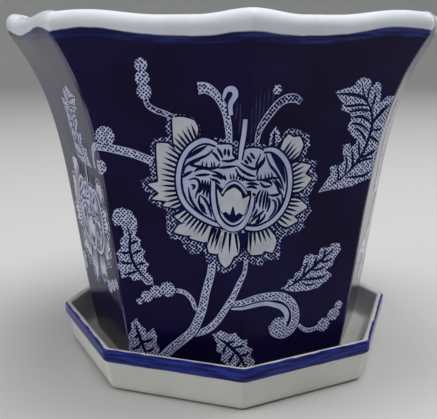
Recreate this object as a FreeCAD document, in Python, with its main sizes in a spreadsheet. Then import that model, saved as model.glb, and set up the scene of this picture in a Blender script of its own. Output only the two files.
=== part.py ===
"""A flared eight-sided porcelain plant pot standing in a matching eight-sided saucer.

Millimetres, +Z up. The origin is the middle of the saucer's foot, on the surface that it
stands on. One corner of both pieces points to -Y, which is the front.
"""
import FreeCAD, Part
import math
import os

doc = FreeCAD.newDocument("planter")

# ---------------------------------------------------------------- driving dimensions
# Every "circumradius" is measured from the middle to a corner of the octagon.
SIZES = {
    # the saucer
    "saucer_height": 22.0,       # foot to lip
    "saucer_floor": 6.0,         # thickness of the floor, on which the pot stands
    "saucer_room": 8.5,          # from the pot's foot corner to the floor's edge
    "saucer_wall": 5.7,          # thickness at the floor
    "saucer_lean": 2.8,          # how far the outside leans out up to the band
    "inner_lean": 5.9,           # how far the inside leans out from floor to lip
    "band_height": 6.6,          # the thicker painted band under the lip
    "band_proud": 1.3,           # how far the band stands out
    "saucer_recess": 1.6,        # hollow under the floor, inside the foot ring
    "saucer_ring": 7.0,          # width of the foot ring
    "saucer_corner": 3.5,        # roundness of the eight upright corners
    "saucer_heel": 3.0,          # roundness where the wall meets the foot
    "lip_round": 1.1,            # roundness of the lip's edges
    "floor_round": 3.0,          # roundness between floor and wall, inside
    # the pot's wall
    "foot_circumradius": 70.5,
    "taper_gain": 20.5,          # widening of the nearly straight lower wall
    "flare_gain": 18.0,          # extra widening of the flared upper wall
    "wall_height": 157.0,        # foot to the underside of the rim
    "pot_wall": 6.0,
    "pot_base": 9.0,             # floor thickness above the foot, recess included
    "crease_round": 2.4,         # roundness of the eight upright creases
    "pot_ring": 8.0,             # width of the foot ring
    "pot_recess": 3.0,           # hollow under the base, inside the foot ring
    "drain_diameter": 18.0,
    # the rolled rim
    "rim_height": 8.2,           # at the bottom of its wave
    "rim_wave": 2.3,             # how far the crests of the wave stand higher
    "rim_bulge": 1.0,            # how far the rim stands out past the wall
    "rim_roll": 1.5,             # how far it rolls in over the mouth
}
SIDES = 8
HALF_SIDE = math.pi / SIDES
STEP_ACROSS = math.cos(HALF_SIDE)     # from a circumradius to the distance across to a flat
TAPER_POWER = 0.8                     # the lower wall bows out very slightly
FLARE_POWER = 6                       # the flare is gathered in the top third
ROUND_STEPS = 3                       # flats that make up a quarter round of the saucer

sheet = doc.addObject("Spreadsheet::Sheet", "size")
for row, (alias, value) in enumerate(SIZES.items(), start=1):
    sheet.set("A%d" % row, alias)
    sheet.set("B%d" % row, str(value))
    sheet.setAlias("B%d" % row, alias)
doc.recompute()


# ---------------------------------------------------------------- shared drawing steps
def octagon(name, height, circumradius, corner):
    """A level octagon with rounded corners; all three sizes are expressions.

    A smaller octagon is drawn and set off outwards by the corner's radius.
    """
    core = doc.addObject("Part::RegularPolygon", name + "_core")
    core.Polygon = SIDES
    core.setExpression("Circumradius", "%s - %s / %s" % (circumradius, corner, STEP_ACROSS))
    core.setExpression("Placement.Base.z", height)
    line = doc.addObject("Part::Offset2D", name)
    line.Source = core
    line.Join = "Arc"
    line.setExpression("Value", corner)
    return line


def loft(name, profile, corner, ruled):
    """A solid through octagons; profile is a list of (height, circumradius) expressions."""
    feature = doc.addObject("Part::Loft", name)
    feature.Sections = [octagon("%s_line_%d" % (name, i), height, circumradius, corner)
                        for i, (height, circumradius) in enumerate(profile)]
    feature.Solid = True
    feature.Ruled = ruled
    return feature


def round_over(height, circumradius, radius, first, last):
    """Profile points of a quarter round about a centre, from one angle to the next."""
    points = []
    for i in range(ROUND_STEPS + 1):
        angle = first + (last - first) * i / ROUND_STEPS
        points.append(("%s + %s * sin(%s deg)" % (height, radius, angle),
                       "(%s + %s * cos(%s deg))" % (circumradius, radius, angle)))
    return points


def cut(name, base, tool):
    feature = doc.addObject("Part::Cut", name)
    feature.Base = base
    feature.Tool = tool
    return feature


# ---------------------------------------------------------------- the saucer
# Its inside is set by the pot's foot and the room left around it, and the wall stands
# outside that.
FLOOR_EDGE = "(size.foot_circumradius + size.saucer_room)"
INNER_TOP = "(%s + size.inner_lean)" % FLOOR_EDGE
OUTER_FOOT = "(%s + size.saucer_wall)" % FLOOR_EDGE
OUTER_TOP = "(%s + size.saucer_lean)" % OUTER_FOOT
BAND_FOOT = "(size.saucer_height - size.band_height)"
BAND_OUT = "(%s + size.band_proud)" % OUTER_TOP
LIP_CENTRE = "(size.saucer_height - size.lip_round)"

outside_profile = (
    round_over("size.saucer_heel", "%s - size.saucer_heel" % OUTER_FOOT, "size.saucer_heel", -90, 0)
    + [(BAND_FOOT, OUTER_TOP),
       (BAND_FOOT + " + size.band_proud", "%s + 0.75 * size.band_proud" % OUTER_TOP),
       (BAND_FOOT + " + 2 * size.band_proud", BAND_OUT)]
    + round_over(LIP_CENTRE, "%s - size.lip_round" % BAND_OUT, "size.lip_round", 0, 90))
saucer_outside = loft("saucer_outside", outside_profile, "size.saucer_corner", True)

inside_profile = (
    round_over("(size.saucer_floor + size.floor_round)", "%s - size.floor_round" % FLOOR_EDGE,
               "size.floor_round", -90, 0)
    + round_over(LIP_CENTRE, "%s + size.lip_round" % INNER_TOP, "size.lip_round", 180, 90))
saucer_inside = loft("saucer_inside", inside_profile, "size.saucer_corner", True)
saucer_dish = cut("saucer_dish", saucer_outside, saucer_inside)

SAUCER_RING_INSIDE = "(%s - size.saucer_ring)" % OUTER_FOOT
saucer_recess = loft("saucer_recess", [("0", SAUCER_RING_INSIDE),
                                       ("size.saucer_recess", SAUCER_RING_INSIDE)],
                     "size.saucer_corner", True)
saucer = cut("saucer", saucer_dish, saucer_recess)
saucer.Label = "saucer"
doc.recompute()

# ---------------------------------------------------------------- the pot's wall
def wall_circumradius(height):
    """The outside of the wall at a height above the foot, as an expression."""
    share = "(%s / size.wall_height)" % height
    return ("(size.foot_circumradius + size.taper_gain * %s ^ %s + size.flare_gain * %s ^ %s)"
            % (share, TAPER_POWER, share, FLARE_POWER))


OUTER_SHARES = [0.0, 0.16, 0.4, 0.62, 0.78, 0.9, 1.0]      # shares of the wall's height
INNER_SHARES = [0.0, 0.3, 0.55, 0.75, 0.89, 1.0]           # shares from the floor to the rim

outer_profile = []
for share in OUTER_SHARES:
    height = "(%s * size.wall_height)" % share
    outer_profile.append(("size.saucer_floor + " + height, wall_circumradius(height)))
wall_outside = loft("wall_outside", outer_profile, "size.crease_round", False)

inner_profile = []
for share in INNER_SHARES:
    height = "(size.pot_base + %s * (size.wall_height - size.pot_base))" % share
    inner_profile.append(("size.saucer_floor + " + height,
                          "(%s - size.pot_wall / %s)" % (wall_circumradius(height), STEP_ACROSS)))
wall_inside = loft("wall_inside", inner_profile, "size.crease_round", False)
hollow_wall = cut("hollow_wall", wall_outside, wall_inside)

POT_RING_INSIDE = "(size.foot_circumradius - size.pot_ring)"
pot_recess = loft("pot_recess", [("size.saucer_floor", POT_RING_INSIDE),
                                 ("size.saucer_floor + size.pot_recess", POT_RING_INSIDE)],
                  "size.crease_round", True)
footed_wall = cut("footed_wall", hollow_wall, pot_recess)

drain = doc.addObject("Part::Cylinder", "drain")
drain.setExpression("Radius", "size.drain_diameter / 2")
drain.setExpression("Height", "size.pot_base")
drain.setExpression("Placement.Base.z", "size.saucer_floor")
pot_wall = cut("pot_wall", footed_wall, drain)
doc.recompute()

# ---------------------------------------------------------------- the rolled, waved rim
# Seen from above the rim follows the octagon. Its top runs in a wave: a narrow crest over
# every second corner, and a pair of broad crests either side of the corners between, with
# a shallow notch where the pair meets.
NARROW_HALF = 0.27        # half the width of the narrow crest, as a share of a side
BROAD_PLACE = 0.85        # where the broad crest is highest, as a share of a side
BROAD_HALF = 0.40
RIM_STEPS = 8             # straight lengths that make up the wave along one side


def crest(distance, half_width):
    if abs(distance) >= half_width:
        return 0.0
    return 0.5 * (1 + math.cos(math.pi * distance / half_width))


def rim_lift(share):
    """Height of the wave, from the corner with the narrow crest along one side."""
    wave = crest(share, NARROW_HALF) + crest(share - BROAD_PLACE, BROAD_HALF)
    return sheet.rim_wave * wave


def rim_section(side, share):
    """The rim's cut face on an upright plane through the axis.

    side counts the eight sides, and share runs from one corner of it to the next.
    """
    flat = (side + 0.5) * 2 * HALF_SIDE                # direction square to the side
    turn = math.atan(math.tan(HALF_SIDE) * (2 * share - 1))
    stretch = 1 / math.cos(turn)
    direction = FreeCAD.Vector(math.cos(flat + turn), math.sin(flat + turn), 0)
    mouth = (sheet.foot_circumradius + sheet.taper_gain + sheet.flare_gain) * STEP_ACROSS
    throat = mouth - sheet.pot_wall
    along = share if side % 2 == 0 else 1 - share      # measured from the narrow crest
    top = sheet.rim_height + rim_lift(along)
    shoulder = top - 0.45 * sheet.rim_height
    foot = sheet.saucer_floor + sheet.wall_height

    def point(across, up):
        return direction * (across * stretch) + FreeCAD.Vector(0, 0, foot + up)

    outer_foot = point(mouth, 0)
    outer_shoulder = point(mouth + 0.8 * sheet.rim_bulge, shoulder)
    inner_shoulder = point(throat - sheet.rim_roll, shoulder)
    inner_foot = point(throat, 0)
    middle = (mouth + throat + 0.8 * sheet.rim_bulge - sheet.rim_roll) / 2
    edges = [
        Part.LineSegment(inner_foot, outer_foot).toShape(),
        Part.Arc(outer_foot, point(mouth + sheet.rim_bulge, 0.55 * shoulder),
                 outer_shoulder).toShape(),
        Part.Arc(outer_shoulder, point(middle, top), inner_shoulder).toShape(),
        Part.LineSegment(inner_shoulder, inner_foot).toShape(),
    ]
    return Part.Wire(edges)


def rim_side(side):
    sections = [rim_section(side, step / RIM_STEPS) for step in range(RIM_STEPS + 1)]
    return Part.makeLoft(sections, True, True)


rim = doc.addObject("Part::Feature", "rim")
rim_sides = [rim_side(side) for side in range(SIDES)]
rim.Shape = rim_sides[0].multiFuse(rim_sides[1:]).removeSplitter()

pot = doc.addObject("Part::Fuse", "pot")
pot.Label = "pot"
pot.Base = pot_wall
pot.Tool = rim
doc.recompute()

# ---------------------------------------------------------------- check and write
for item in doc.Objects:
    if "Invalid" in item.State or "Error" in item.State:
        raise RuntimeError("%s failed: %s" % (item.Name, item.State))

os.makedirs("parts", exist_ok=True)
for piece in (saucer, pot):
    shape = piece.Shape
    if shape.isNull() or not shape.isValid() or len(shape.Solids) != 1:
        raise RuntimeError("%s is not one sound solid" % piece.Label)
    shape.exportStep("parts/%s.step" % piece.Label)
    box = shape.optimalBoundingBox()
    print("%-8s volume %.1f cm3, z %.2f to %.2f, reach %.2f"
          % (piece.Label, shape.Volume / 1000, box.ZMin, box.ZMax, box.XMax))
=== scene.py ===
import math

import bmesh
import bpy
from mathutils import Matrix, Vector
from mathutils.bvhtree import BVHTree
from mathutils.geometry import interpolate_bezier


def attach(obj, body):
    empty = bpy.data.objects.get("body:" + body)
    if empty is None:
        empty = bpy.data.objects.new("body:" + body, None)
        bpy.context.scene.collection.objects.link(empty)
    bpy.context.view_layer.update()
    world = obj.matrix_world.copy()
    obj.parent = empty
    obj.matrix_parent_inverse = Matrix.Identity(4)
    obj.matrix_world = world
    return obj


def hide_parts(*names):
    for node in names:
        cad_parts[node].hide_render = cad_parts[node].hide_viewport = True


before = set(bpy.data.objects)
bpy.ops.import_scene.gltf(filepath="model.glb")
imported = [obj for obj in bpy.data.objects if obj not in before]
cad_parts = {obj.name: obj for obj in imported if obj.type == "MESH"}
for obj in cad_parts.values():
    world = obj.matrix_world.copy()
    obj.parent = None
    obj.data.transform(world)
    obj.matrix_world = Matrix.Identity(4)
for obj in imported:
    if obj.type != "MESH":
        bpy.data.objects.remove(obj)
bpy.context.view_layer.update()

# ------------------------------------------------------------------ the saucer
# The saucer is one cast piece of white porcelain, eight-sided like the pot that stands in
# it. Its wall leans out to a thicker band under the lip. The glaze is clear over the white
# body, the band is brushed with cobalt, and the ring that it stands on is left bare.
MM = 0.001
SIDES = 8
HALF_SIDE = math.pi / SIDES

# The outline of the wall, from the foot to the floor, as (reach to a corner, height, paint):
# millimetres, and how deep a place lies in the brushed blue, or below 0 how far outside it.
CLEAR = -4.0
SAUCER_HOLLOW = (77.7, 1.6)
SAUCER_CORNER = 3.5 / 84.7
SAUCER_FOOT = [(77.9, 0.5, CLEAR), (78.4, 0.0, CLEAR), (81.7, 0.0, CLEAR),
               (82.85, 0.23, CLEAR), (83.8, 0.88, CLEAR), (84.45, 1.85, CLEAR),
               (84.7, 3.0, CLEAR)]
SAUCER_WALL = [(85.35, 6.0, CLEAR), (85.95, 9.0, CLEAR), (86.6, 12.0, -3.4),
               (87.2, 14.6, -1.0), (87.5, 15.3, -0.4)]
SAUCER_BAND = [(88.1, 15.9, 0.3), (88.55, 16.4, 0.8), (88.75, 17.2, 1.6),
               (88.75, 18.6, 3.0), (88.75, 20.0, 2.6), (88.75, 20.9, 1.8)]
SAUCER_LIP = [(88.6, 21.45, 1.3), (88.2, 21.85, 0.8), (87.7, 21.98, 0.3),
              (86.9, 21.98, -0.5), (85.9, 21.88, -1.5), (85.05, 21.4, -2.5),
              (84.8, 20.8, -3.2)]
SAUCER_INSIDE = [(reach, height, CLEAR) for reach, height in
                 [(84.0, 18.4), (83.1, 15.5), (82.1, 12.4), (81.2, 9.6), (80.6, 8.0),
                  (79.7, 6.8), (78.4, 6.15), (76.8, 6.0), (71.0, 6.0)]]


def lay_ring(clay, reach, height, corner, cuts):
    """Lays a level octagon with rounded corners and returns its edges."""
    ring = bmesh.ops.create_circle(clay, segments=SIDES, radius=reach)["verts"]
    bmesh.ops.bevel(clay, geom=ring, affect="VERTICES", segments=4, profile=0.5,
                    offset=corner * reach * math.tan(HALF_SIDE), material=-1)
    long_sides = [edge for edge in clay.edges if edge.calc_length() > 0.3 * reach]
    bmesh.ops.subdivide_edges(clay, edges=long_sides, cuts=cuts)
    bmesh.ops.translate(clay, verts=clay.verts, vec=(0, 0, height))
    return list(clay.edges)


def draw_out(shape, edges):
    """Extrudes a line of edges in place; returns its new edges and their ends."""
    made = bmesh.ops.extrude_edge_only(shape, edges=edges)["geom"]
    ends = {item for item in made if isinstance(item, bmesh.types.BMVert)}
    return [item for item in made if isinstance(item, bmesh.types.BMEdge)
            and ends.issuperset(item.verts)], list(ends)


def carry(clay, ring, start, stages):
    """Draws the wall on from one stage through the next ones; returns its last ring."""
    paint = clay.verts.layers.float["paint"]
    for reach, height, depth in stages:
        ring, ends = draw_out(clay, ring)
        grow = reach / start[0]
        bmesh.ops.scale(clay, verts=ends, vec=(grow, grow, 1))
        bmesh.ops.translate(clay, verts=ends, vec=(0, 0, height - start[1]))
        for end in ends:
            end[paint] = depth
        start = (reach, height)
    return ring


def make_piece(name, mesh, glazes):
    """Turns a finished shape, drawn in millimetres, into a piece with its glazes."""
    bmesh.ops.scale(mesh, verts=mesh.verts, vec=(MM, MM, MM))
    for face in mesh.faces:
        face.smooth = True
    data = bpy.data.meshes.new(name)
    mesh.to_mesh(data)
    piece = bpy.data.objects.new(name, data)
    bpy.context.scene.collection.objects.link(piece)
    for glaze in glazes:
        data.materials.append(glaze)
    return piece


def add(tree, kind, inputs, **settings):
    """Adds a node, sets its settings, and fills or connects its inputs."""
    made = tree.nodes.new(kind)
    for name, value in settings.items():
        setattr(made, name, value)
    for socket, value in inputs.items():
        if isinstance(value, bpy.types.NodeSocket):
            tree.links.new(value, made.inputs[socket])
        else:
            made.inputs[socket].default_value = value
    return made


def ramp(tree, value, low, high, to_low=0.0, to_high=1.0):
    return add(tree, "ShaderNodeMapRange", {"Value": value, "From Min": low, "From Max": high,
               "To Min": to_low, "To Max": to_high}, interpolation_type="SMOOTHSTEP").outputs[0]


def blend(tree, share, under, over):
    return add(tree, "ShaderNodeMix", {"Factor": share, "A": under, "B": over},
               data_type="RGBA").outputs["Result"]


def noise(tree, place, scale, detail=2.0):
    return add(tree, "ShaderNodeTexNoise", {"Vector": place, "Scale": scale,
               "Detail": detail}).outputs["Fac"]


def stretched(tree, place, scale):
    return add(tree, "ShaderNodeMapping", {"Vector": place, "Scale": scale}).outputs[0]


def combine(tree, first, second, operation="ADD"):
    return add(tree, "ShaderNodeMath", {0: first, 1: second}, operation=operation).outputs[0]


def new_glaze(name, roughness, ior):
    glaze = bpy.data.materials.new(name)
    glaze.use_nodes = True
    shader = glaze.node_tree.nodes["Principled BSDF"]
    shader.inputs["IOR"].default_value = ior
    shader.inputs["Roughness"].default_value = roughness
    return glaze, glaze.node_tree, shader


def ripple(tree, shader, place, depth):
    """The faint unevenness of a dipped glaze, and finer pinholes in it."""
    swell = noise(tree, place, 28.0, 1.0)
    dimple = noise(tree, place, 420.0, 2.0)
    height = add(tree, "ShaderNodeMix", {"Factor": 0.06, "A": swell, "B": dimple},
                 data_type="FLOAT").outputs["Result"]
    bump = add(tree, "ShaderNodeBump", {"Strength": 1.0, "Distance": depth,
                                        "Height": height})
    tree.links.new(bump.outputs[0], shader.inputs["Normal"])


def bare_foot(tree, shader, place, glazed, top):
    """Leaves the ring that a piece stands on unglazed, up to a height in metres."""
    height = add(tree, "ShaderNodeSeparateXYZ", {0: place}).outputs["Z"]
    bare = ramp(tree, height, top - 0.0005, top, 1.0, 0.0)
    grit = ramp(tree, noise(tree, place, 900.0, 3.0), 0.3, 0.7)
    clay_colour = blend(tree, grit, BARE_CLAY, BARE_CLAY_SHADE)
    gloss = shader.inputs["Roughness"].default_value
    tree.links.new(blend(tree, bare, glazed, clay_colour), shader.inputs["Base Color"])
    tree.links.new(ramp(tree, bare, 0.0, 1.0, gloss, 0.85), shader.inputs["Roughness"])


PORCELAIN, PORCELAIN_SHADE = (0.80, 0.80, 0.76, 1), (0.71, 0.71, 0.66, 1)
BARE_CLAY, BARE_CLAY_SHADE = (0.56, 0.50, 0.42, 1), (0.44, 0.39, 0.32, 1)
BAND_DARK, BAND_BRIGHT = (0.002, 0.004, 0.085, 1), (0.018, 0.036, 0.30, 1)

saucer_glaze, tree, shader = new_glaze("white glaze with a cobalt band", 0.09, 1.3)
place = add(tree, "ShaderNodeTexCoord", {}).outputs["Object"]
depth = add(tree, "ShaderNodeAttribute", {}, attribute_name="paint").outputs["Fac"]
wobble = ramp(tree, noise(tree, place, 110.0), 0.3, 0.7, -0.3, 0.3)
share = ramp(tree, combine(tree, depth, wobble), -0.35, 0.45)
brush = noise(tree, stretched(tree, place, (70, 70, 900)), 1.0, 3.0)
cobalt = blend(tree, ramp(tree, brush, 0.36, 0.66), BAND_DARK, BAND_BRIGHT)
white = blend(tree, ramp(tree, noise(tree, place, 35.0, 4.0), 0.35, 0.7), PORCELAIN,
              PORCELAIN_SHADE)
bare_foot(tree, shader, place, blend(tree, share, white, cobalt), 0.0009)
ripple(tree, shader, place, 0.0005)

clay = bmesh.new()
clay.verts.layers.float.new("paint")
ring = lay_ring(clay, *SAUCER_HOLLOW, SAUCER_CORNER, 9)
for point in clay.verts:
    point[clay.verts.layers.float["paint"]] = CLEAR
bmesh.ops.contextual_create(clay, geom=ring)
ring = carry(clay, ring, SAUCER_HOLLOW,
             SAUCER_FOOT + SAUCER_WALL + SAUCER_BAND + SAUCER_LIP + SAUCER_INSIDE)
bmesh.ops.contextual_create(clay, geom=ring)
bmesh.ops.recalc_face_normals(clay, faces=clay.faces)
saucer = make_piece("glazed_saucer", clay, [saucer_glaze])
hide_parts("saucer")
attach(saucer, "saucer")

# ------------------------------------------------------------------ the pot
# The pot is cast in one piece too: eight flat sides that flare out to a rolled rim, which
# runs in a low wave. The outside is dipped in navy, with a pale line along every second
# crease that is partly the glaze breaking over the edge and partly a painted highlight;
# the inside, the rim and the hollow of the foot are white.
FOOT_REACH, FOOT_HEIGHT, WALL_HEIGHT = 70.5, 6.0, 157.0
WALL_RINGS = 60
POT_CORNER = 2.4 / 70.5
RIM_FOOT = FOOT_HEIGHT + WALL_HEIGHT
RIM_MIDDLE, RIM_HALF_WIDTH, RIM_HALF_HEIGHT = 105.45, 4.6, 4.1
POT_HOLLOW = (62.5, 9.0)
ACROSS_WALL = 6.0 / math.cos(HALF_SIDE)
POT_FLOOR, HOLE_RADIUS = 15.0, 9.0
# The wave has a narrow crest over every second corner and a broad one over those between.
# Places and half widths are shares of a side, counted from a narrow crest.
WAVE, WAVE_STARTS = 2.25, 155.0
NARROW_HALF, BROAD_PLACE, BROAD_HALF = 0.27, 0.85, 0.40
# The edge of the blue under the rim rises with the wave.
BLUE_TOP, BLUE_BOTTOM = 163.4, 7.4
BLUE_NARROW_RISE, BLUE_BROAD_RISE = 0.8, 2.2
BLUE_BROAD_PLACE, BLUE_BROAD_HALF = 0.78, 0.45
CREASE_HALF = 0.018


def wall_reach(height):
    """From the axis to a crease of the pot, at a height."""
    up = max(0.0, (height - FOOT_HEIGHT) / WALL_HEIGHT)
    return FOOT_REACH + 20.5 * up ** 0.8 + 18.0 * up ** 6


def pot_paint(height):
    """How deep a height lies in the blue of the outside."""
    return max(CLEAR, min(height - BLUE_BOTTOM, BLUE_TOP - height))


def crest(distance, half_width):
    """The shape of one crest of the wave, 1 in its middle and 0 from its half width on."""
    if abs(distance) >= half_width:
        return 0.0
    return 0.5 + 0.5 * math.cos(math.pi * distance / half_width)


def from_crest(point):
    """Where a place is along its side: 0 at the narrow crest's corner, 1 at the other."""
    turn = math.atan2(point.y, point.x) / (2 * HALF_SIDE)
    corner = math.floor(turn)
    along = 0.5 + 0.5 * math.tan((turn - corner - 0.5) * 2 * HALF_SIDE) / math.tan(HALF_SIDE)
    return 1 - along if corner % 2 else along


wall_heights = [FOOT_HEIGHT + WALL_HEIGHT * step / WALL_RINGS
                for step in range(1, WALL_RINGS + 1)]
wall = [(wall_reach(height), height, pot_paint(height)) for height in wall_heights]
foot = [(reach, height, pot_paint(height)) for reach, height in
        [(62.9, 6.35), (63.4, 6.0), (69.8, 6.0), (70.35, 6.25), (70.75, 7.0)]]
rim = []
for turn in range(-30, 211, 15):
    height = RIM_FOOT + RIM_HALF_HEIGHT * (1 + math.sin(math.radians(turn)))
    rim.append((RIM_MIDDLE + RIM_HALF_WIDTH * math.cos(math.radians(turn)), height,
                pot_paint(height) if turn < 0 else CLEAR))
throat = [(wall_reach(height) - ACROSS_WALL, height, CLEAR) for height in
          [RIM_FOOT - 4.0 * step for step in range(36)]]
floor_edge = [(67.4, 18.4, CLEAR), (66.3, 16.4, CLEAR), (64.8, 15.3, CLEAR),
              (62.6, POT_FLOOR, CLEAR)]

clay = bmesh.new()
clay.verts.layers.float.new("paint")
clay.verts.layers.float.new("crease")
ring = lay_ring(clay, *POT_HOLLOW, POT_CORNER, 20)
under_edge = list(ring)
for point in clay.verts:
    point[clay.verts.layers.float["paint"]] = CLEAR
ring = carry(clay, ring, POT_HOLLOW, foot + wall + rim + throat + floor_edge)
for radius, height in [(HOLE_RADIUS + 1.2, POT_FLOOR), (HOLE_RADIUS + 0.3, 14.7),
                       (HOLE_RADIUS, 14.0), (HOLE_RADIUS, 9.8), (HOLE_RADIUS + 0.8, 9.0)]:
    ring, ends = draw_out(clay, ring)
    for end in ends:
        end.co = (*(end.co.xy.normalized() * radius), height)
        end[clay.verts.layers.float["paint"]] = CLEAR
bmesh.ops.bridge_loops(clay, edges=under_edge + ring)
for point in clay.verts:
    along = from_crest(point.co)
    if point.co.z > WAVE_STARTS:
        narrow = crest(along, NARROW_HALF)
        rise = (point.co.z - WAVE_STARTS) / (RIM_FOOT + 2 * RIM_HALF_HEIGHT - WAVE_STARTS)
        point.co.z += min(1.0, rise) ** 1.3 * WAVE * (
            narrow + crest(along - BROAD_PLACE, BROAD_HALF))
        point[clay.verts.layers.float["paint"]] += (
            BLUE_NARROW_RISE * narrow
            + BLUE_BROAD_RISE * crest(along - BLUE_BROAD_PLACE, BLUE_BROAD_HALF))
    point[clay.verts.layers.float["crease"]] = max(0.0, 1 - abs(along - 1) / CREASE_HALF)
bmesh.ops.recalc_face_normals(clay, faces=clay.faces)
pot_skin = BVHTree.FromBMesh(clay)

NAVY_THIN, NAVY_THICK = (0.0085, 0.0048, 0.052, 1), (0.0046, 0.0022, 0.026, 1)
LINE_DARK, LINE_BRIGHT = (0.008, 0.010, 0.07, 1), (0.035, 0.044, 0.21, 1)
WHITE, WHITE_SHADE = (0.73, 0.755, 0.80, 1), (0.65, 0.68, 0.735, 1)
# the pale tone of every second crease: partly glaze thinning over the edge, partly a painted
# highlight
CREASE_BREAK_AND_HIGHLIGHT = (0.30, 0.32, 0.42, 1)

pot_glaze, tree, shader = new_glaze("navy glaze with a white rim", 0.08, 1.17)
place = add(tree, "ShaderNodeTexCoord", {}).outputs["Object"]
height = add(tree, "ShaderNodeSeparateXYZ", {0: place}).outputs["Z"]
depth = add(tree, "ShaderNodeAttribute", {}, attribute_name="paint").outputs["Fac"]
edge = add(tree, "ShaderNodeAttribute", {}, attribute_name="crease").outputs["Fac"]
wobble = ramp(tree, noise(tree, place, 60.0), 0.3, 0.7, -0.22, 0.22)
painted = combine(tree, depth, wobble)
navy = blend(tree, ramp(tree, noise(tree, place, 22.0, 3.0), 0.35, 0.68), NAVY_THICK, NAVY_THIN)
streak = noise(tree, stretched(tree, place, (45, 45, 500)), 1.0, 3.0)
cobalt = blend(tree, ramp(tree, streak, 0.4, 0.7), LINE_DARK, LINE_BRIGHT)
near_rim = ramp(tree, height, 0.157, 0.159)
under_rim = combine(tree, near_rim, ramp(tree, painted, 2.4, 3.6, 1.0, 0.0), "MULTIPLY")
outside = blend(tree, under_rim, navy, cobalt)
# a pale line painted along every second crease, partly a glaze break and partly a painted
# highlight
breaks_and_highlight = combine(tree, ramp(tree, edge, 0.1, 0.9),
                ramp(tree, noise(tree, place, 60.0, 3.0), 0.35, 0.6), "MULTIPLY")
outside = blend(tree, combine(tree, breaks_and_highlight, 0.45, "MULTIPLY"), outside, CREASE_BREAK_AND_HIGHLIGHT)
white = blend(tree, ramp(tree, noise(tree, place, 30.0, 4.0), 0.35, 0.7), WHITE, WHITE_SHADE)
bare_foot(tree, shader, place,
          blend(tree, ramp(tree, painted, -0.3, 0.4), white, outside), 0.0068)
ripple(tree, shader, place, 0.0005)

pot = make_piece("glazed_pot", clay, [pot_glaze])
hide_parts("pot")
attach(pot, "pot")

# ------------------------------------------------------------------ the printed flower
# A transfer print under the pot's glaze: white where the navy is left out, with fine navy
# lines, hatching and dots. Each motif is drawn flat, in millimetres along the wall from the
# front crease and up from the ground, and pressed on in thin layers. First the big flower.
FIRST_LIFT, LAYER = 0.05, 0.02
FILM = 0.5                              # thickness of a shape, most of it inside the wall
# where a flat sheet is cut to bend round a crease, in shares of a side
CREASE_CUTS = [share * POT_CORNER * math.tan(HALF_SIDE) / (2 * math.sin(HALF_SIDE))
               for share in (-1, -0.52, 0, 0.52, 1)]
PLAIN, DOTTED, LACE, CREAM, VEIL = range(5)     # glazes of the white sheet
DOT_PITCH = 1.3                         # between navy dots, in millimetres
WHITE_EDGE = 0.4                        # left free of dots along the edge of a motif
HALF_ROUND = SIDES // 2                 # the whole print comes twice round the pot


def side_width(height):
    return 2 * wall_reach(height) * math.sin(HALF_SIDE)


def flowing(points, closed=False, ease=6):
    """A smooth line through given points; a higher ease keeps its corners sharper."""
    line = [Vector((*point, 0)) for point in points]
    last = len(line) - 1
    drawn = []
    for index in range(last + closed):
        start, end = line[index], line[(index + 1) % (last + 1)]
        before = line[index - 1] if closed or index else start
        after = line[(index + 2) % (last + 1)] if closed or index + 1 < last else end
        drawn += interpolate_bezier(start, start + (end - before) / ease,
                                    end - (after - start) / ease, end, 5)[:-1]
    return drawn if closed else drawn + [line[-1]]


def lay(sheet, outline, layer, white=PLAIN):
    """Lays a flat shape, its edge given as a line of places, in a layer of the print."""
    lift = FIRST_LIFT + LAYER * layer
    corners = [sheet.verts.new((place.x, place.y, lift)) for place in outline]
    sheet.faces.new(corners).material_index = white


def grown(outline, by):
    """The same edge set off outwards by a distance."""
    area = sum(a.x * b.y - b.x * a.y for a, b in zip(outline, outline[1:] + outline[:1]))
    by = math.copysign(by, area)
    wider = []
    for before, here, after in zip(outline[-1:] + outline[:-1], outline,
                                   outline[1:] + outline[:1]):
        along = (after - before).normalized()
        wider.append(here + Vector((along.y, -along.x, 0)) * by)
    return wider


def ribbon_edge(points, widths):
    """The edge of a ribbon that follows a smooth line and changes width along it."""
    line = flowing(points)
    last = len(line) - 1
    left, right = [], []
    for index, place in enumerate(line):
        along = (line[min(index + 1, last)] - line[max(index - 1, 0)]).normalized()
        share = index / last * (len(widths) - 1)
        step = min(int(share), len(widths) - 2)
        half = (widths[step] + (widths[step + 1] - widths[step]) * (share - step)) / 2
        left.append(place + Vector((-along.y, along.x, 0)) * half)
        right.append(place - Vector((-along.y, along.x, 0)) * half)
    return right + left[::-1]


def ribbon(points, widths, layer, dots=PLAIN, line=0.7):
    """A white ribbon with a navy line along both edges and dots down its middle, or none."""
    if line:
        lay(navy, ribbon_edge(points, [width + 2 * line for width in widths]), layer - 1)
    lay(white_sheet, ribbon_edge(points, widths), layer)
    if dots:
        inner = [max(0.2, width - 2 * WHITE_EDGE) for width in widths]
        lay(white_sheet, ribbon_edge(points, inner), layer + 0.5, dots)


def dotted_shape(outline, layer, line=0.8, dots=DOTTED):
    """A white shape with a navy line round it, and dots that stop short of its edge."""
    lay(navy, grown(outline, line), layer - 1)
    lay(white_sheet, outline, layer)
    lay(white_sheet, grown(outline, -WHITE_EDGE), layer + 0.5, dots)


def petal(points, layer, white=PLAIN, line=0.9, ease=6):
    """A white shape with a navy line round it."""
    outline = flowing(points, closed=True, ease=ease)
    if line:
        lay(navy, grown(outline, line), layer - 1)
    lay(white_sheet, outline, layer, white)


def stroke(points, layer, width=0.6):
    """A navy brush line that thins out at both ends."""
    lay(navy, ribbon_edge(points, [0.7 * width, 2.2 * width, 2.2 * width, 0.7 * width]), layer)


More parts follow.
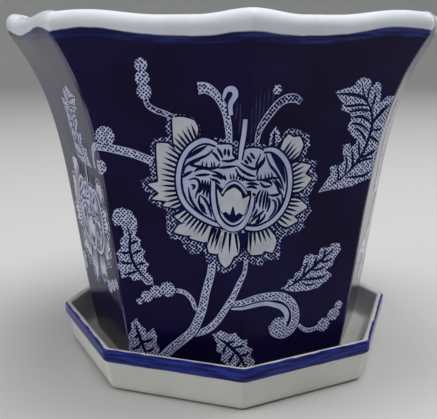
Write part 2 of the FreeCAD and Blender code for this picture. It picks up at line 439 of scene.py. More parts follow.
def hatching(points, length, pitch, layer, start=0.0, lean=0.0, width=0.6):
    """Short tapering navy lines to the right of a smooth line."""
    line = flowing(points)
    travelled = 0.0
    for here, after in zip(line, line[1:]):
        travelled += (after - here).length
        if travelled < pitch:
            continue
        travelled = 0.0
        along = (after - here).normalized()
        out = (Vector((along.y, -along.x, 0)) + along * lean).normalized()
        root, waist, tip = (here + out * (start + length * part) for part in (0, 0.55, 1))
        half = along * width / 2
        lay(navy, [root - half, waist - 0.75 * half, tip, waist + 0.75 * half, root + half],
            layer)


def press(sheet, name, glazes, places):
    """Cuts a flat sheet where the wall bends, and presses its copies on to the pot.

    places says for each copy how far it is moved and how much it is scaled.
    """
    sheet.loops.layers.uv.new("flat")
    printed = bmesh.new()
    for move, scale in places:
        copy = sheet.copy()
        flat = copy.loops.layers.uv["flat"]
        bmesh.ops.scale(copy, verts=copy.verts, vec=(*scale, 1))
        bmesh.ops.translate(copy, verts=copy.verts, vec=(*move, 0))
        for point in copy.verts:
            point.co.x /= side_width(point.co.y)
        low = min(point.co.x for point in copy.verts)
        high = max(point.co.x for point in copy.verts)
        cuts = [((0, height, 0), (0, 1, 0)) for height in wall_heights]
        cuts += [((corner + cut, 0, 0), (1, 0, 0)) for cut in CREASE_CUTS
                 for corner in range(math.floor(low), math.ceil(high) + 1)]
        for where, across in cuts:
            bmesh.ops.bisect_plane(copy, geom=copy.verts[:] + copy.edges[:] + copy.faces[:],
                                   plane_co=where, plane_no=across, dist=1e-6)
        bmesh.ops.triangulate(copy, faces=copy.faces)
        for face in copy.faces:
            if face.normal.z < 0:
                face.normal_flip()
        bmesh.ops.solidify(copy, geom=copy.faces[:], thickness=FILM)
        for edge in copy.edges:
            edge.smooth = edge.calc_face_angle(0.0) < 0.5
        for face in copy.faces:
            for loop in face.loops:
                side, height = loop.vert.co.xy
                loop[flat].uv = (side * side_width(height) / 100, height / 100)
        for turn in (0, HALF_ROUND):
            bent = copy.copy()
            for point in bent.verts:
                press_point(point, turn)
            whole = bpy.data.meshes.new(name)
            bent.to_mesh(whole)
            printed.from_mesh(whole)
            bpy.data.meshes.remove(whole)
    return make_piece(name, printed, glazes)


def press_point(point, turn):
    """Moves a point of the flat sheet on to the pot's skin, keeping its lift."""
    side, height, lift = point.co
    corner = math.floor(side)
    ends = [Vector((math.sin(2 * HALF_SIDE * (corner + step + turn)),
                    -math.cos(2 * HALF_SIDE * (corner + step + turn)), 0)) for step in (0, 1)]
    sharp = ends[0].lerp(ends[1], side - corner) * wall_reach(height)
    skin, normal, face, distance = pot_skin.find_nearest((sharp.x, sharp.y, height))
    point.co = skin + normal * lift


def print_glaze(name, light, dark):
    """One colour of the print, a little uneven."""
    glaze, tree, shader = new_glaze(name, 0.08, 1.17)
    place = add(tree, "ShaderNodeTexCoord", {}).outputs["Object"]
    tone = blend(tree, ramp(tree, noise(tree, place, 180.0, 3.0), 0.35, 0.7), light, dark)
    tree.links.new(tone, shader.inputs["Base Color"])
    ripple(tree, shader, place, 0.0005)
    return glaze


def dotted_glaze(name, dot_radius):
    """White with navy dots, whose radius is a share of the distance between them."""
    glaze, tree, shader = new_glaze(name, 0.08, 1.17)
    place = add(tree, "ShaderNodeTexCoord", {}).outputs["Object"]
    flat = add(tree, "ShaderNodeUVMap", {}, uv_map="flat").outputs["UV"]
    turned = add(tree, "ShaderNodeMapping", {"Vector": flat, "Rotation": (0, 0, 0.7)}).outputs[0]
    spots = add(tree, "ShaderNodeTexVoronoi", {"Vector": turned, "Scale": 100 / DOT_PITCH,
                "Randomness": 0.4}, voronoi_dimensions="2D").outputs["Distance"]
    dots = ramp(tree, spots, dot_radius - 0.08, dot_radius + 0.08, 1.0, 0.0)
    tone = blend(tree, dots, (0.58, 0.62, 0.86, 1), (0.003, 0.005, 0.07, 1))
    tree.links.new(tone, shader.inputs["Base Color"])
    ripple(tree, shader, place, 0.0005)
    return glaze


print_dots = dotted_glaze("white with navy dots", 0.37)
print_lace = dotted_glaze("white lace", 0.50)

print_white = print_glaze("white left out of the print", (0.52, 0.56, 0.78, 1),
                          (0.45, 0.48, 0.72, 1))
print_cream = print_glaze("cream petals", (0.59, 0.61, 0.68, 1), (0.52, 0.54, 0.61, 1))
print_veil = print_glaze("faint blue shading", (0.030, 0.034, 0.13, 1), (0.012, 0.014, 0.07, 1))
print_whites = [print_white, print_dots, print_lace, print_cream, print_veil]
print_navy = print_glaze("navy drawing", (0.001, 0.002, 0.035, 1), (0.003, 0.004, 0.07, 1))

white_sheet, navy = bmesh.new(), bmesh.new()

# the dotted lace that shows behind the petals, all round the flower
lace = [(-20, 124), (-20, 127), (-22, 130.8), (-27, 132), (-31, 132.3), (-34.2, 130),
        (-34.5, 126), (-33.5, 122.3), (-40, 121.5), (-41.6, 118), (-41, 113), (-42.5, 110),
        (-41.5, 105), (-46.6, 102.3), (-45.6, 99), (-42.2, 97), (-43.2, 94), (-38.5, 91.5),
        (-35.2, 90.5), (-35, 86), (-34.8, 80), (-33, 77), (-28, 76.5), (-27, 73.5),
        (-24, 70.3), (-20, 71.3), (-18.3, 74), (-16.8, 70), (-16, 65.5), (-12, 63.8),
        (-8.7, 62.4), (-4.5, 65.5), (-2.6, 69), (1.5, 70), (5, 67.5), (9, 66), (10.5, 68.3),
        (17.6, 67.8), (18.3, 72), (18, 77), (21, 78.5), (26, 79.6), (30.4, 80.8),
        (29.2, 83.6), (33.4, 88.5), (31.6, 92), (31, 95.5), (32.5, 98), (34.6, 101.5),
        (35.3, 104), (33.2, 107), (34.6, 111), (30, 112), (27, 113), (29, 115.7),
        (30.3, 119), (29.3, 123), (25, 125), (20, 126.5), (16.2, 123.5), (13, 119.5)]
dotted_shape([Vector((*place, 0)) for place in lace], 0, dots=LACE)

# the ring of cream petals, hatched from the heart outwards
for outline in [
        [(-31.8, 130.8), (-27, 131.4), (-22.4, 130.2), (-20.8, 127), (-21.5, 121.5),
         (-25, 119), (-30, 115), (-31.5, 121)],
        [(-39, 119.6), (-34, 119.8), (-30, 116), (-27.5, 105), (-27, 96), (-30, 91.2),
         (-36.8, 91.8), (-35, 94), (-41.8, 94.5), (-38.5, 97.4), (-43.6, 101.2),
         (-38.8, 102.6), (-39, 108), (-39.2, 114)],
        [(-31.6, 87.5), (-28.5, 89.8), (-22, 91), (-19, 88), (-23, 85.4), (-28, 84.6)],
        [(-31.7, 79.8), (-29.5, 83.4), (-24, 85.4), (-17, 87.5), (-17.5, 83.5),
         (-22, 79.5), (-26, 78.8)],
        [(-24.6, 77.8), (-22, 80.6), (-17.6, 84.5), (-13.5, 85), (-14.8, 79.5),
         (-17.5, 76.4)],
        [(-15.6, 71.9), (-16.6, 77), (-14.6, 83.5), (-10, 84), (-9.6, 78), (-11.6, 71.6)],
        [(-11.3, 70.8), (-10.4, 67.6), (-8, 65.3), (-5.8, 67.6), (-4.4, 70.8), (-2.2, 72.4),
         (-1.8, 77), (-3.5, 83.5), (-9, 83.5), (-11, 77)],
        [(1.8, 74.2), (4, 71.6), (9, 71.3), (10.4, 72.6), (14.4, 71.2), (16.2, 76),
         (14.5, 80.5), (9, 84.5), (2, 84.5), (1, 79)],
        [(16, 85.5), (21, 82.4), (26.8, 84.6), (24.6, 87), (31.2, 90.4), (27.2, 94.2),
         (21.5, 96), (18, 91)],
        [(24.8, 111.4), (31.6, 109.6), (29, 106), (32.5, 103.6), (29.2, 99.6), (23, 97.2),
         (20.5, 104), (20, 110.5)],
        [(16.6, 121), (19.4, 124), (21.8, 122.7), (25, 122.7), (27, 119), (25, 114.6),
         (20, 112), (14.5, 116.5)]]:
    petal(outline, 2, CREAM, ease=16)

# the heart: a white ground with navy lines, inside two curled ribbons
heart = [(-12.8, 120.4), (-6.5, 120.5), (-6.1, 116.8), (-4.4, 114.8), (-2.4, 114.8),
         (-0.8, 118.6), (2, 119.4), (6, 118.8), (8.5, 117.6), (14, 117.6), (19.5, 111.5),
         (21.5, 103), (20.5, 96.5), (17.5, 90.8), (12.5, 86.2), (6, 85.4), (0, 87.2),
         (-6, 87), (-13, 87), (-19.8, 88.8), (-26, 93.2), (-29, 98), (-29.6, 104),
         (-28.4, 110.8), (-24.8, 117), (-19, 121.4)]
left_curl = [(-12.6, 120.6), (-16, 121.8), (-19.6, 121.6), (-24.4, 118.4), (-28, 112.6),
             (-29.5, 105), (-28.6, 97.6), (-25.4, 92.2), (-20, 88.2), (-14, 85.6), (-9.6, 84.6)]
right_curl = [(8, 118.2), (12.4, 118), (16.8, 115), (20.2, 110), (21.6, 103), (20.9, 96),
              (18.2, 90.2), (13, 85.6), (6.4, 83.6), (0.6, 84.6)]
petal(heart, 4)
hatching(left_curl, 7.4, 1.4, 3, start=1.0, lean=-0.15, width=1.35)
hatching(right_curl[::-1], 7.0, 1.4, 3, start=1.0, lean=0.15, width=1.35)
hatching([(-15, 84.6), (-9, 83), (-5, 82.4), (0, 83), (6, 83)], 10.4, 1.45, 3, start=0.6,
         width=1.35)

for points in [
        # the bent leaf at the left, under its dark hollow
        [(-27.2, 106.8), (-26.4, 110), (-23.6, 112.4), (-19.6, 114.3), (-16.4, 116),
         (-14.2, 118.4)],
        [(-19.8, 113.2), (-24.2, 111.2), (-19.6, 110.5), (-15.2, 110), (-12.2, 110.8),
         (-11.2, 112.6)],
        [(-14.9, 117.4), (-12.8, 115.6), (-11.2, 113.2)],
        [(-12.6, 119.2), (-11, 117), (-9.9, 114.6)],
        # the block and the two bands left of the stamen
        [(-9, 119), (-9.2, 116)], [(-7.6, 118.8), (-7.4, 115.6)],
        [(-10.4, 113.7), (-7, 113.7), (-3.8, 115)], [(-12, 110.4), (-8.4, 111), (-3.8, 111.8)],
        [(-22.4, 108), (-20.6, 109.5), (-17.5, 109.9), (-14.8, 109)],
        [(-22, 106.4), (-18.6, 107), (-15.2, 107.4)],
        [(-15.2, 109), (-12, 108.2), (-9.6, 106.6), (-8.4, 105.2)],
        [(-14.8, 107.2), (-12, 106.8), (-9.8, 105.4)],
        [(-15.4, 105.6), (-12.6, 104.8), (-10.8, 103.4)],
        # the curl at the left and the small leaf under it
        [(-24.8, 104.4), (-22, 105.2), (-20.2, 104), (-20, 101), (-21.2, 98.6), (-21.8, 96.2)],
        [(-23.8, 102.4), (-22.2, 101.8), (-23.2, 100.2)],
        [(-27.8, 103.4), (-27.6, 99.2), (-25.8, 95.8)],
        [(-24.9, 101), (-24.4, 97.4), (-23.2, 94.4), (-20.6, 91.2), (-16.6, 88)],
        [(-19.8, 98), (-18, 96.6), (-16.2, 94), (-14.9, 90.6), (-14.6, 88.4)],
        [(-19.8, 98), (-20.2, 94.8), (-18.6, 91.2), (-16.4, 89.4)],
        [(-18.7, 105), (-18.8, 101.6), (-20.2, 98.8)],
        [(-17.4, 104.8), (-17.6, 101.4), (-18.4, 98)],
        [(-16.2, 104.6), (-16.4, 100.8), (-16.8, 97)], [(-15.1, 104.8), (-15.2, 99), (-15, 93)],
        # the band and the lobe right of the stamen
        [(-3.8, 112), (-1.2, 109.6), (2, 107.9), (4.6, 107.1)],
        [(-4.4, 110.6), (-2.4, 107.4), (1.6, 105.7), (5, 105.4)],
        [(-2.3, 113.4), (0.4, 111.7), (4.3, 110.4), (5, 113), (6.6, 116.8)],
        [(0.2, 116.2), (2.6, 113.2)], [(1.6, 117.6), (4, 114.6)], [(-0.8, 114.6), (1, 112.7)],
        [(8.6, 115.4), (7.8, 112.8), (5, 109.6)], [(8.8, 114.4), (6.2, 112), (4.9, 107.4)],
        # the pointed leaf at the right and the bands beside it
        [(9, 116.4), (11.2, 111.6), (14.4, 107.9), (17.2, 103.6), (18.6, 99.4)],
        [(4.8, 105.5), (9, 105.2), (13, 105.6), (16.4, 105.2)],
        [(0.4, 104.2), (3, 104.2), (6.4, 103.2)], [(0.4, 102.6), (3, 102.8), (5.6, 101.6)],
        [(3.4, 99.8), (5, 98.6)], [(6.8, 104.4), (9, 102.2), (12.6, 102.2)],
        [(8, 104.9), (11.2, 104.2), (12.9, 102.5)],
        [(12.6, 104.6), (14.8, 102.6), (16.4, 99.4), (18.6, 97)],
        [(13.8, 105.2), (16.2, 102.4), (17.6, 100)],
        # the plume, the curl at the right and the leaf under them
        [(7.4, 101), (5.8, 98.4), (5.4, 95)], [(8.6, 100.8), (7.4, 97), (7, 93)],
        [(9.8, 100.6), (9.1, 96.6), (8.6, 92)], [(10.7, 100), (10.6, 96), (9.9, 92)],
        [(11.7, 97), (11.8, 94), (10.7, 90.4)], [(6, 92.6), (5.2, 90.6), (3.4, 89)],
        [(4.5, 97.4), (4.4, 94), (3.9, 91.4)],
        [(11.2, 98.4), (13.4, 97.8), (16, 98), (17.4, 99.4)],
        [(12.8, 96), (14.6, 94.8), (15, 92), (13.8, 89.4), (11.6, 87.6)],
        [(15.2, 96.8), (16.8, 94.4), (16.4, 91), (14.2, 88.2)],
        [(17.7, 97.2), (18.5, 94.6), (17.5, 91.6)],
        [(2, 86), (4.6, 88.4), (7.8, 90.2), (9.4, 91.6)],
        [(3.4, 85.6), (6.8, 86.3), (9.2, 88), (10, 90)]]:
    stroke(points, 5)
for points in [[(-20.4, 110.8), (-17, 110.4), (-12.6, 110.8)],
               [(-9.2, 105.2), (-5, 106), (-0.6, 105.2)],
               [(5, 105.6), (8, 105.4), (13.6, 106)]]:
    hatching(points[::-1], 2.8, 1.15, 5, width=0.95)
for outline in [
        [(-25.8, 113.4), (-23.8, 116.2), (-20.8, 118.4), (-16.6, 120), (-19, 117.4),
         (-22, 115.4)],
        [(11, 117), (14, 115.4), (17.3, 111.4), (19, 106.6), (19.2, 102.4), (16.9, 106.6),
         (13.6, 112)],
        [(-27.9, 105), (-26.4, 107.4), (-22.8, 108.6), (-25, 106.4)],
        [(-19.2, 94.4), (-17.6, 92.6), (-17.2, 90.4), (-18.8, 91.8)],
        [(5.2, 86.8), (7.6, 89.6), (7.2, 87)]]:
    lay(navy, flowing(outline, closed=True), 5)

# the two curled ribbons, the cup in the middle, its tulip and the stamen over it
ribbon(left_curl, [1.2, 2.1, 1.9, 2.0, 2.0, 1.9, 1.0], 7, line=0.95)
ribbon(right_curl, [1.2, 2.0, 2.1, 1.9, 2.0, 2.0, 1.4], 7, line=0.95)
cup = [(-13.9, 104.4), (-13.8, 97.6), (-12.6, 90.6), (-9.9, 85.8), (-5.6, 83.6),
       (-1.4, 85.2), (1.4, 89.4), (3, 94), (3.6, 98.4)]
lay(navy, flowing([(-12.9, 103.6), (-12.9, 96), (-11.6, 90), (-9, 86), (-5.4, 84.8),
                   (-2, 86.2), (0.8, 90), (2.3, 95), (2.8, 100.6), (0.6, 101.4),
                   (-1.4, 104), (-4.5, 105.8), (-7.8, 104.2), (-9.6, 101.6)], closed=True), 8)
ribbon(cup, [1.6, 1.9, 1.9, 2.0, 1.9, 1.4], 10, line=0.6)
ribbon([(-11.5, 98.5), (-11, 94), (-9.4, 89), (-5.4, 86.1), (-1.6, 88), (0.6, 92),
        (1.6, 97.5)], [0.6, 0.9, 0.9, 0.9, 0.6], 10, line=0)
petal([(-12.1, 101.2), (-9.7, 97.8), (-8.2, 100.2), (-4.6, 102.4), (-1.8, 100.4),
       (-1, 97.8), (1.9, 98.8), (0.8, 93.6), (-0.2, 90.6), (-2.4, 91.4), (-3.8, 90.2),
       (-5, 94.4), (-6.4, 90.2), (-8, 91.4), (-10, 90.8), (-11.4, 95)], 12, CREAM, 0.4, 10)
ribbon([(-10, 99.4), (-7.6, 103.1), (-4.5, 104.6), (-1.6, 103.1), (0.6, 99.8)],
       [0.7, 1.0, 0.7], 13, line=0.3)
ribbon([(-2.6, 114.4), (-2.2, 119), (-1.4, 125), (-1, 131.5)], [1.2, 1.9, 1.7], 8)

# a faint blue shading of upright lines behind the stamen and the tendrils
for x, low, high in [(1.4, 120, 137), (3.0, 119, 141), (4.6, 124, 143), (6.4, 130, 142),
                     (8.2, 134, 144), (-3.6, 125, 138), (-5.2, 131, 140), (10.4, 137, 144)]:
    lay(white_sheet, ribbon_edge([(x, low), (x + 0.5, (low + high) / 2), (x + 0.2, high)],
                                 [0.4, 1.0, 0.3]), -1, VEIL)

flower_places = [((0, 0), (1, 1)), ((-88.5, -19), (0.7, 0.95))]
flower_white = press(white_sheet, "flower_white", print_whites, flower_places)
flower_navy = press(navy, "flower_navy", [print_navy], flower_places)
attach(flower_white, "pot")
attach(flower_navy, "pot")

# ------------------------------------------------------------------ stems and tendrils
# The stems of the same print: dotted ribbons that rise from the saucer to the flower, a
# hooked one to the right, and tendrils that end in rows of dotted beads.
white_sheet, navy = bmesh.new(), bmesh.new()


def beads(places, layer=1):
    """Round dotted beads, each given by its place and radius."""
    for x, z, radius in places:
        ring = [Vector((x + radius * math.cos(turn * math.pi / 8),
                        z + radius * math.sin(turn * math.pi / 8), 0)) for turn in range(16)]
        dotted_shape(ring, layer, 0.6)


ribbon([(-22.3, 30.2), (-19, 31.6), (-15, 34.3), (-11, 39.2), (-7, 46.4), (-4, 52.2),
        (-1.3, 59), (0.8, 64), (1.2, 70), (0.6, 78)], [3.0, 3.2, 2.8, 2.1, 1.5], 0, DOTTED, 0)
ribbon([(-41, 12), (-38, 15.6), (-33.4, 21), (-29, 25.4), (-24, 30.7), (-21.6, 35.2),
        (-19.1, 42), (-18, 46.8), (-16.9, 52.6), (-14.8, 61), (-14.2, 66)],
       [4.4, 4.4, 4.2, 3.8, 3.4], 2, DOTTED)
ribbon([(-20.4, 42.4), (-22.3, 44.1), (-23.5, 47.5), (-26.7, 50.8), (-31, 51.5)],
       [1.6, 2.3, 2.2], 1, DOTTED)
beads([(-35.2, 51.5, 3.4), (-41, 49.7, 2.7), (-45.7, 46.6, 2.5), (-49.4, 43.8, 1.3)])
ribbon([(-41, 111.6), (-50, 114.5), (-58, 116), (-66, 117), (-71.5, 115.6), (-74.4, 111.4),
        (-74.4, 105.5)], [3.6, 3.8, 3.7, 3.2, 2.2], 1, DOTTED)
beads([(-63, 121.6, 4.2), (-66.6, 107.4, 3.2)])
beads([(-63.4, 50, 2.4), (-68.4, 47.6, 2.8), (-74, 45, 3.1)])
ribbon([(-43.4, 138.6), (-42.6, 136), (-39.4, 134), (-35, 132.6), (-31, 131)],
       [2.2, 2.5, 2.3], 1, LACE)
beads([(-45, 152.4, 2.4), (-44.6, 146.9, 2.8), (-44, 141.4, 2.9)])
ribbon([(-21, 143.4), (-17.6, 143.6), (-14, 141.4), (-11.3, 138), (-9, 133), (-7.8, 127),
        (-7.4, 121)], [5.0, 4.2, 3.2, 3.0, 3.0, 2.4], 1, DOTTED)
ribbon([(-10.4, 139.6), (-9.2, 143), (-6.6, 143.4), (-5.6, 141), (-7.4, 137.4),
        (-7, 133)], [1.0, 2.4, 2.2, 1.6], 3)
ribbon([(4.4, 121), (5.2, 126), (7, 129.5), (10, 133.5), (13.5, 137.3), (17.5, 139.2),
        (21.5, 139), (24, 137.3)], [1.8, 3.0, 3.4, 3.6, 3.8, 2.4], 1, LACE)
beads([(12.4, 143, 1.6)])

stem_places = [((0, 0), (1, 1))]
stems_white = press(white_sheet, "stems_white", print_whites[:3], stem_places)
stems_navy = press(navy, "stems_navy", [print_navy], stem_places)
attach(stems_white, "pot")
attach(stems_navy, "pot")

# ------------------------------------------------------------------ the leaves
# The leaves of the print are dotted like the stems, with a navy midrib and slanting side
# veins, and edges cut into teeth.
white_sheet, navy = bmesh.new(), bmesh.new()


def leaf(edge, veins, layer=1):
    """A toothed dotted leaf with a navy line round it and navy veins."""
    outline = [Vector((*place, 0)) for place in edge]
    dotted_shape(outline, layer)
    for points, width in veins:
        stroke(points, layer + 1, width)


leaf([(-42.5, 53.2), (-46, 53), (-48, 55.4), (-52, 54.2), (-54.2, 56.4), (-58, 54.8),
      (-58.4, 58.2), (-59.8, 60.4), (-58.4, 63.6), (-59.8, 66.6), (-57.2, 70), (-57.8, 73.4),
      (-55.6, 76), (-56, 79), (-57.4, 81.4), (-60.2, 80.6), (-61.2, 84), (-60, 87.8),
      (-56.4, 89), (-52.4, 87.8), (-50, 84.4), (-49.6, 80.4), (-50.8, 76.8), (-48.2, 74.4),
      (-48.6, 71.4), (-46.2, 69.2), (-47.4, 66), (-44.6, 63), (-46.2, 59.4), (-43.2, 57)],
     [([(-43.4, 54), (-48, 57.6), (-52, 63.6), (-53.4, 70), (-53, 76), (-54.6, 81)], .7),
      ([(-49.4, 59.4), (-53, 57.8), (-57, 56.4)], .6),
      ([(-51.6, 63), (-55, 62.4), (-58.6, 63)], .6),
      ([(-53, 68), (-55.6, 67.4), (-58.4, 67.4)], .6),
      ([(-50.8, 61.6), (-48, 63), (-45.6, 63.4)], .6),
      ([(-52.8, 66.6), (-50, 68.6), (-47.4, 69.4)], .6),
      ([(-53.4, 71.6), (-51, 73.4), (-49, 73.8)], .6)])
leaf([(-56, 12), (-56.6, 17), (-55, 20), (-56, 24), (-53.8, 27), (-54, 31), (-51.4, 34),
      (-49.6, 30.6), (-47.4, 29.4), (-47, 26.2), (-44.8, 27.6), (-43, 30), (-41.4, 26),
      (-42, 22.4), (-40.4, 19.4), (-42, 12)],
     [([(-51.8, 31), (-50.6, 26), (-48.6, 20), (-46, 13)], .8), ([(-50.6, 25), (-53, 23.6)], .6),
      ([(-49.2, 21), (-52, 18), (-54.6, 17)], .6), ([(-49.4, 22.4), (-46, 22.6), (-43, 25)], .7),
      ([(-47.6, 17), (-44.6, 17.6), (-42.4, 20)], .6)])
leaf([(-13.4, 31), (-9.6, 33.4), (-6, 32), (-2.6, 33.2), (-0.6, 30.2), (2.6, 29.4),
      (2.8, 26), (5.6, 24), (4.6, 20.4), (7, 17.6), (6.6, 12), (-6, 12), (-6.6, 16.4),
      (-9, 18.2), (-8.6, 21.4), (-11.4, 23), (-11, 26.6)],
     [([(-11.6, 30), (-6, 26.6), (-0.6, 21.4), (3.4, 13)], .8), ([(-7, 27.4), (-3, 29.4)], .6),
      ([(-4, 25), (-0.6, 26.8), (1.6, 27)], .6), ([(-1, 22), (2.4, 22), (4.6, 23)], .6),
      ([(-6.6, 26.8), (-8, 24), (-8.4, 21.6)], .6), ([(-2.6, 23.4), (-4.6, 20), (-6, 17)], .6),
      ([(0.6, 19.4), (-1.4, 16.4), (-3, 13)], .6)])
leaf([(10.6, 119.6), (11, 124.5), (12.8, 127.6), (15, 124.6), (14.4, 121)],
     [([(12, 120), (12.8, 126)], .6)])

leaf_places = [((0, 0), (1, 1))]
leaves_white = press(white_sheet, "leaves_white", print_whites[:3], leaf_places)
leaves_navy = press(navy, "leaves_navy", [print_navy], leaf_places)
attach(leaves_white, "pot")
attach(leaves_navy, "pot")

# ------------------------------------------------------------------ the hooked sprays
# A hooked dotted branch with a leaf over it and a tail of beads. It comes twice in each
# half of the print: beside the big flower, and on the face to the right of it.
white_sheet, navy = bmesh.new(), bmesh.new()

ribbon([(-5.5, 47.4), (0, 49), (7, 50), (14.2, 49.8), (20, 48.6), (24.8, 45.2),
        (27.7, 40.4), (28.2, 35.1), (26.3, 30.6), (21.9, 28.9), (17.6, 31.3), (16.8, 34.6)],
       [2.4, 3.8, 4.2, 4.4, 5.0, 5.6], 1, DOTTED)
ribbon([(-5, 45.5), (2.2, 46.4), (10.9, 46.7), (16.6, 45.0), (21, 42.6), (23.4, 39),
        (23.2, 35.2)], [0.8, 1.9, 2.2, 2.8, 2.0], 3)
beads([(19.2, 33.4, 4.3)], 2)
ribbon([(30.2, 32), (33.5, 28.9), (36.8, 27.7), (41, 28.2)], [1.6, 2.4, 2.4], 1, DOTTED)
beads([(44.5, 29.1, 3.3), (50, 33.7, 3.0), (52.6, 38.2, 1.9)])
leaf([(20, 52.8), (23.4, 54), (23.4, 56.2), (26, 56), (27.4, 59), (30, 59.8), (31, 62),
      (31.8, 66.6), (35, 67.4), (36.6, 66), (39.4, 66), (39.8, 69), (43, 69.6), (44.2, 68.6),
      (46, 70.6), (50, 70.4), (51, 67.6), (49, 65), (47.4, 62.4), (46.8, 60), (43.4, 58.8),
      (44, 57.2), (47, 55), (44.4, 52.6), (41.6, 51.4), (39.6, 50), (34, 49.6), (26, 50.4)],
     [([(22.4, 52.4), (28, 54.6), (33, 58), (38, 61.8), (43, 65.2), (47.8, 68.4)], .8),
      ([(29.6, 55.2), (35.6, 54.8), (41, 54.6), (45, 56)], .7),
      ([(31.2, 57), (32, 60.4), (34, 64.4)], .6), ([(26.4, 54.2), (27.4, 56), (29, 58)], .5),
      ([(36.4, 60.8), (37.6, 63.6), (38.4, 66)], .6),
      ([(41.6, 64.4), (42.4, 66.6), (43, 68.6)], .6),
      ([(35.2, 59.4), (39.4, 59), (44, 60.2)], .6), ([(40.2, 63), (43.4, 62.4), (47, 63.4)], .6),
      ([(30.6, 53.6), (34.4, 52), (39, 52)], .5)])

spray_places = [((0, 0), (1, 1)), ((72, 12), (1, 1))]
sprays_white = press(white_sheet, "sprays_white", print_whites[:2], spray_places)
sprays_navy = press(navy, "sprays_navy", [print_navy], spray_places)
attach(sprays_white, "pot")
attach(sprays_navy, "pot")

# ------------------------------------------------------------------ the large leaves
# The largest leaf of the print bends over a crease. Turned over and made smaller it comes
# again on the faces to both sides.
white_sheet, navy = bmesh.new(), bmesh.new()

leaf([(36.8, 96.6), (41, 97.6), (48, 97.6), (55, 98.4), (60, 100), (64.4, 101), (65, 103.6),
      (66, 106.6), (66.2, 112.6), (67.8, 116), (68.6, 120.4), (69, 125), (69.4, 130),
      (71.6, 138), (68, 137.8), (63.8, 134.6), (64, 138.4), (63, 143), (61, 144.6),
      (58.4, 141.8), (57.2, 145), (55.4, 146), (52.8, 146.4), (51, 145.2), (49.4, 142.8),
      (45, 141.8), (40.6, 141), (43.4, 138), (45.4, 136.2), (44.6, 133.6), (50, 131.6),
      (50.6, 128.4), (49.2, 125), (51.6, 122), (55, 119.4), (55, 117.4), (52.2, 115.6),
      (51, 117.6), (47.8, 117.2), (48.4, 113.4), (49.6, 110.2), (46.4, 107.4), (44.6, 108.2),
      (42, 107.8), (42.8, 104.6), (40.8, 101.6)],
     [([(43, 99.2), (49, 102.6), (53, 106), (56.4, 109.2), (59.4, 114.4), (61.2, 120),
        (62, 125.6), (60.4, 132), (56.2, 138), (53.4, 143.6)], .7),
      ([(50.6, 102.4), (57, 102), (62, 102.8), (65, 104.6)], .6),
      ([(55, 108), (59.4, 109.6), (65, 110)], .6), ([(57.6, 110.6), (61.5, 111.8), (66, 114)], .8),
      ([(61.4, 120.6), (64.2, 119), (67.6, 117)], .6), ([(62.2, 123.4), (65, 123), (68, 124)], .5),
      ([(61.8, 126.6), (65, 130), (69.8, 134.6)], .9),
      ([(60.2, 132.6), (61, 136), (61.4, 140.4)], .6),
      ([(57.8, 137), (57.4, 140), (58, 143)], .5),
      ([(58.2, 135.6), (54.6, 138.2), (49, 139.6), (41, 140.2)], .7),
      ([(59.4, 134.2), (54, 134.9), (49, 134.6), (45.4, 135)], .6),
      ([(60.4, 131.8), (55, 132.8), (48.6, 132)], .6),
      ([(61.4, 126.2), (57.4, 129), (54, 129.8), (50.8, 129.6)], .7),
      ([(61, 122.4), (57, 125.4), (53.4, 126.6), (50.4, 126.6)], .6),
      ([(60, 117.8), (57.2, 122), (53.2, 124.8)], .6),
      ([(57.4, 111.4), (56.4, 114.6), (56, 118.4)], .6),
      ([(53.4, 106.8), (53.6, 111), (52.4, 115)], .6),
      ([(50, 103.4), (50.6, 108), (49.6, 113)], .5),
      ([(46.4, 101), (46.6, 104.6), (45.4, 107.6)], .5)])

large_places = [((0, 0), (1, 1)), ((163, -14), (-1, 1)), ((-50, 32), (-0.8, 0.75))]
large_white = press(white_sheet, "large_leaves_white", print_whites[:2],
                    large_places)
large_navy = press(navy, "large_leaves_navy", [print_navy], large_places)
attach(large_white, "pot")
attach(large_navy, "pot")

# ------------------------------------------------------------------ the studio
# A pale floor that runs up into a pale wall behind, with soft light from above and from
# both sides. None of it is part of the planter.
FLOOR_RADIUS, COVE_RADIUS, WALL_TOP = 2.0, 0.9, 2.6

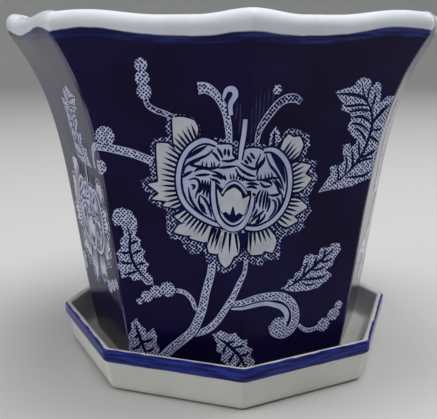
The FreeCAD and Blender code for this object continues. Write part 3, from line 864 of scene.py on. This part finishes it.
sweep = bmesh.new()
bmesh.ops.create_circle(sweep, cap_ends=True, segments=96, radius=FLOOR_RADIUS)
edge_line = list(sweep.edges)
start = (FLOOR_RADIUS, 0.0)
cove = [(FLOOR_RADIUS + COVE_RADIUS * math.sin(math.radians(turn)),
         COVE_RADIUS * (1 - math.cos(math.radians(turn)))) for turn in range(9, 91, 9)]
for reach, height in cove + [(cove[-1][0], WALL_TOP)]:
    edge_line, ends = draw_out(sweep, edge_line)
    grow = reach / start[0]
    bmesh.ops.scale(sweep, verts=ends, vec=(grow, grow, 1))
    bmesh.ops.translate(sweep, verts=ends, vec=(0, 0, height - start[1]))
    start = (reach, height)
for face in sweep.faces:
    face.smooth = True
bmesh.ops.recalc_face_normals(sweep, faces=sweep.faces)
bmesh.ops.reverse_faces(sweep, faces=sweep.faces)
floor_data = bpy.data.meshes.new("floor")
sweep.to_mesh(floor_data)
floor = bpy.data.objects.new("floor", floor_data)
bpy.context.scene.collection.objects.link(floor)
paper, tree, shader = new_glaze("pale paper", 0.9, 1.2)
shader.inputs["Base Color"].default_value = (0.52, 0.52, 0.51, 1)
floor_data.materials.append(paper)


def soft_light(name, place, size, power):
    lamp = bpy.data.lights.new(name, "AREA")
    lamp.shape, lamp.size, lamp.energy = "SQUARE", size, power
    light = bpy.data.objects.new(name, lamp)
    light.location = place
    to_pot = Vector((0, 0, 0.08)) - Vector(place)
    light.rotation_euler = to_pot.to_track_quat("-Z", "Y").to_euler()
    bpy.context.scene.collection.objects.link(light)


soft_light("above", (0.15, -0.1, 1.5), 1.1, 22)
soft_light("left", (-1.5, -0.2, 0.9), 0.9, 9)
soft_light("right", (1.5, 0.3, 0.9), 0.9, 9)

world = bpy.data.worlds.new("studio air")
world.use_nodes = True
world.node_tree.nodes["Background"].inputs["Color"].default_value = (0.80, 0.83, 0.88, 1)
world.node_tree.nodes["Background"].inputs["Strength"].default_value = 0.35
bpy.context.scene.world = world
bpy.context.scene.view_settings.view_transform = "Standard"

EYE = (-0.0328, -0.3702, 0.1647)
LOOK_RIGHT, LOOK_DOWN = 0.0761, 0.2441
camera_data = bpy.data.cameras.new("camera")
camera_data.sensor_width, camera_data.sensor_fit, camera_data.lens = 36, "HORIZONTAL", 58.66
camera_data.clip_start = 0.01
camera = bpy.data.objects.new("camera", camera_data)
camera.location = EYE
camera.rotation_euler = (math.pi / 2 - LOOK_DOWN, 0, -LOOK_RIGHT)
bpy.context.scene.collection.objects.link(camera)
bpy.context.scene.camera = camera
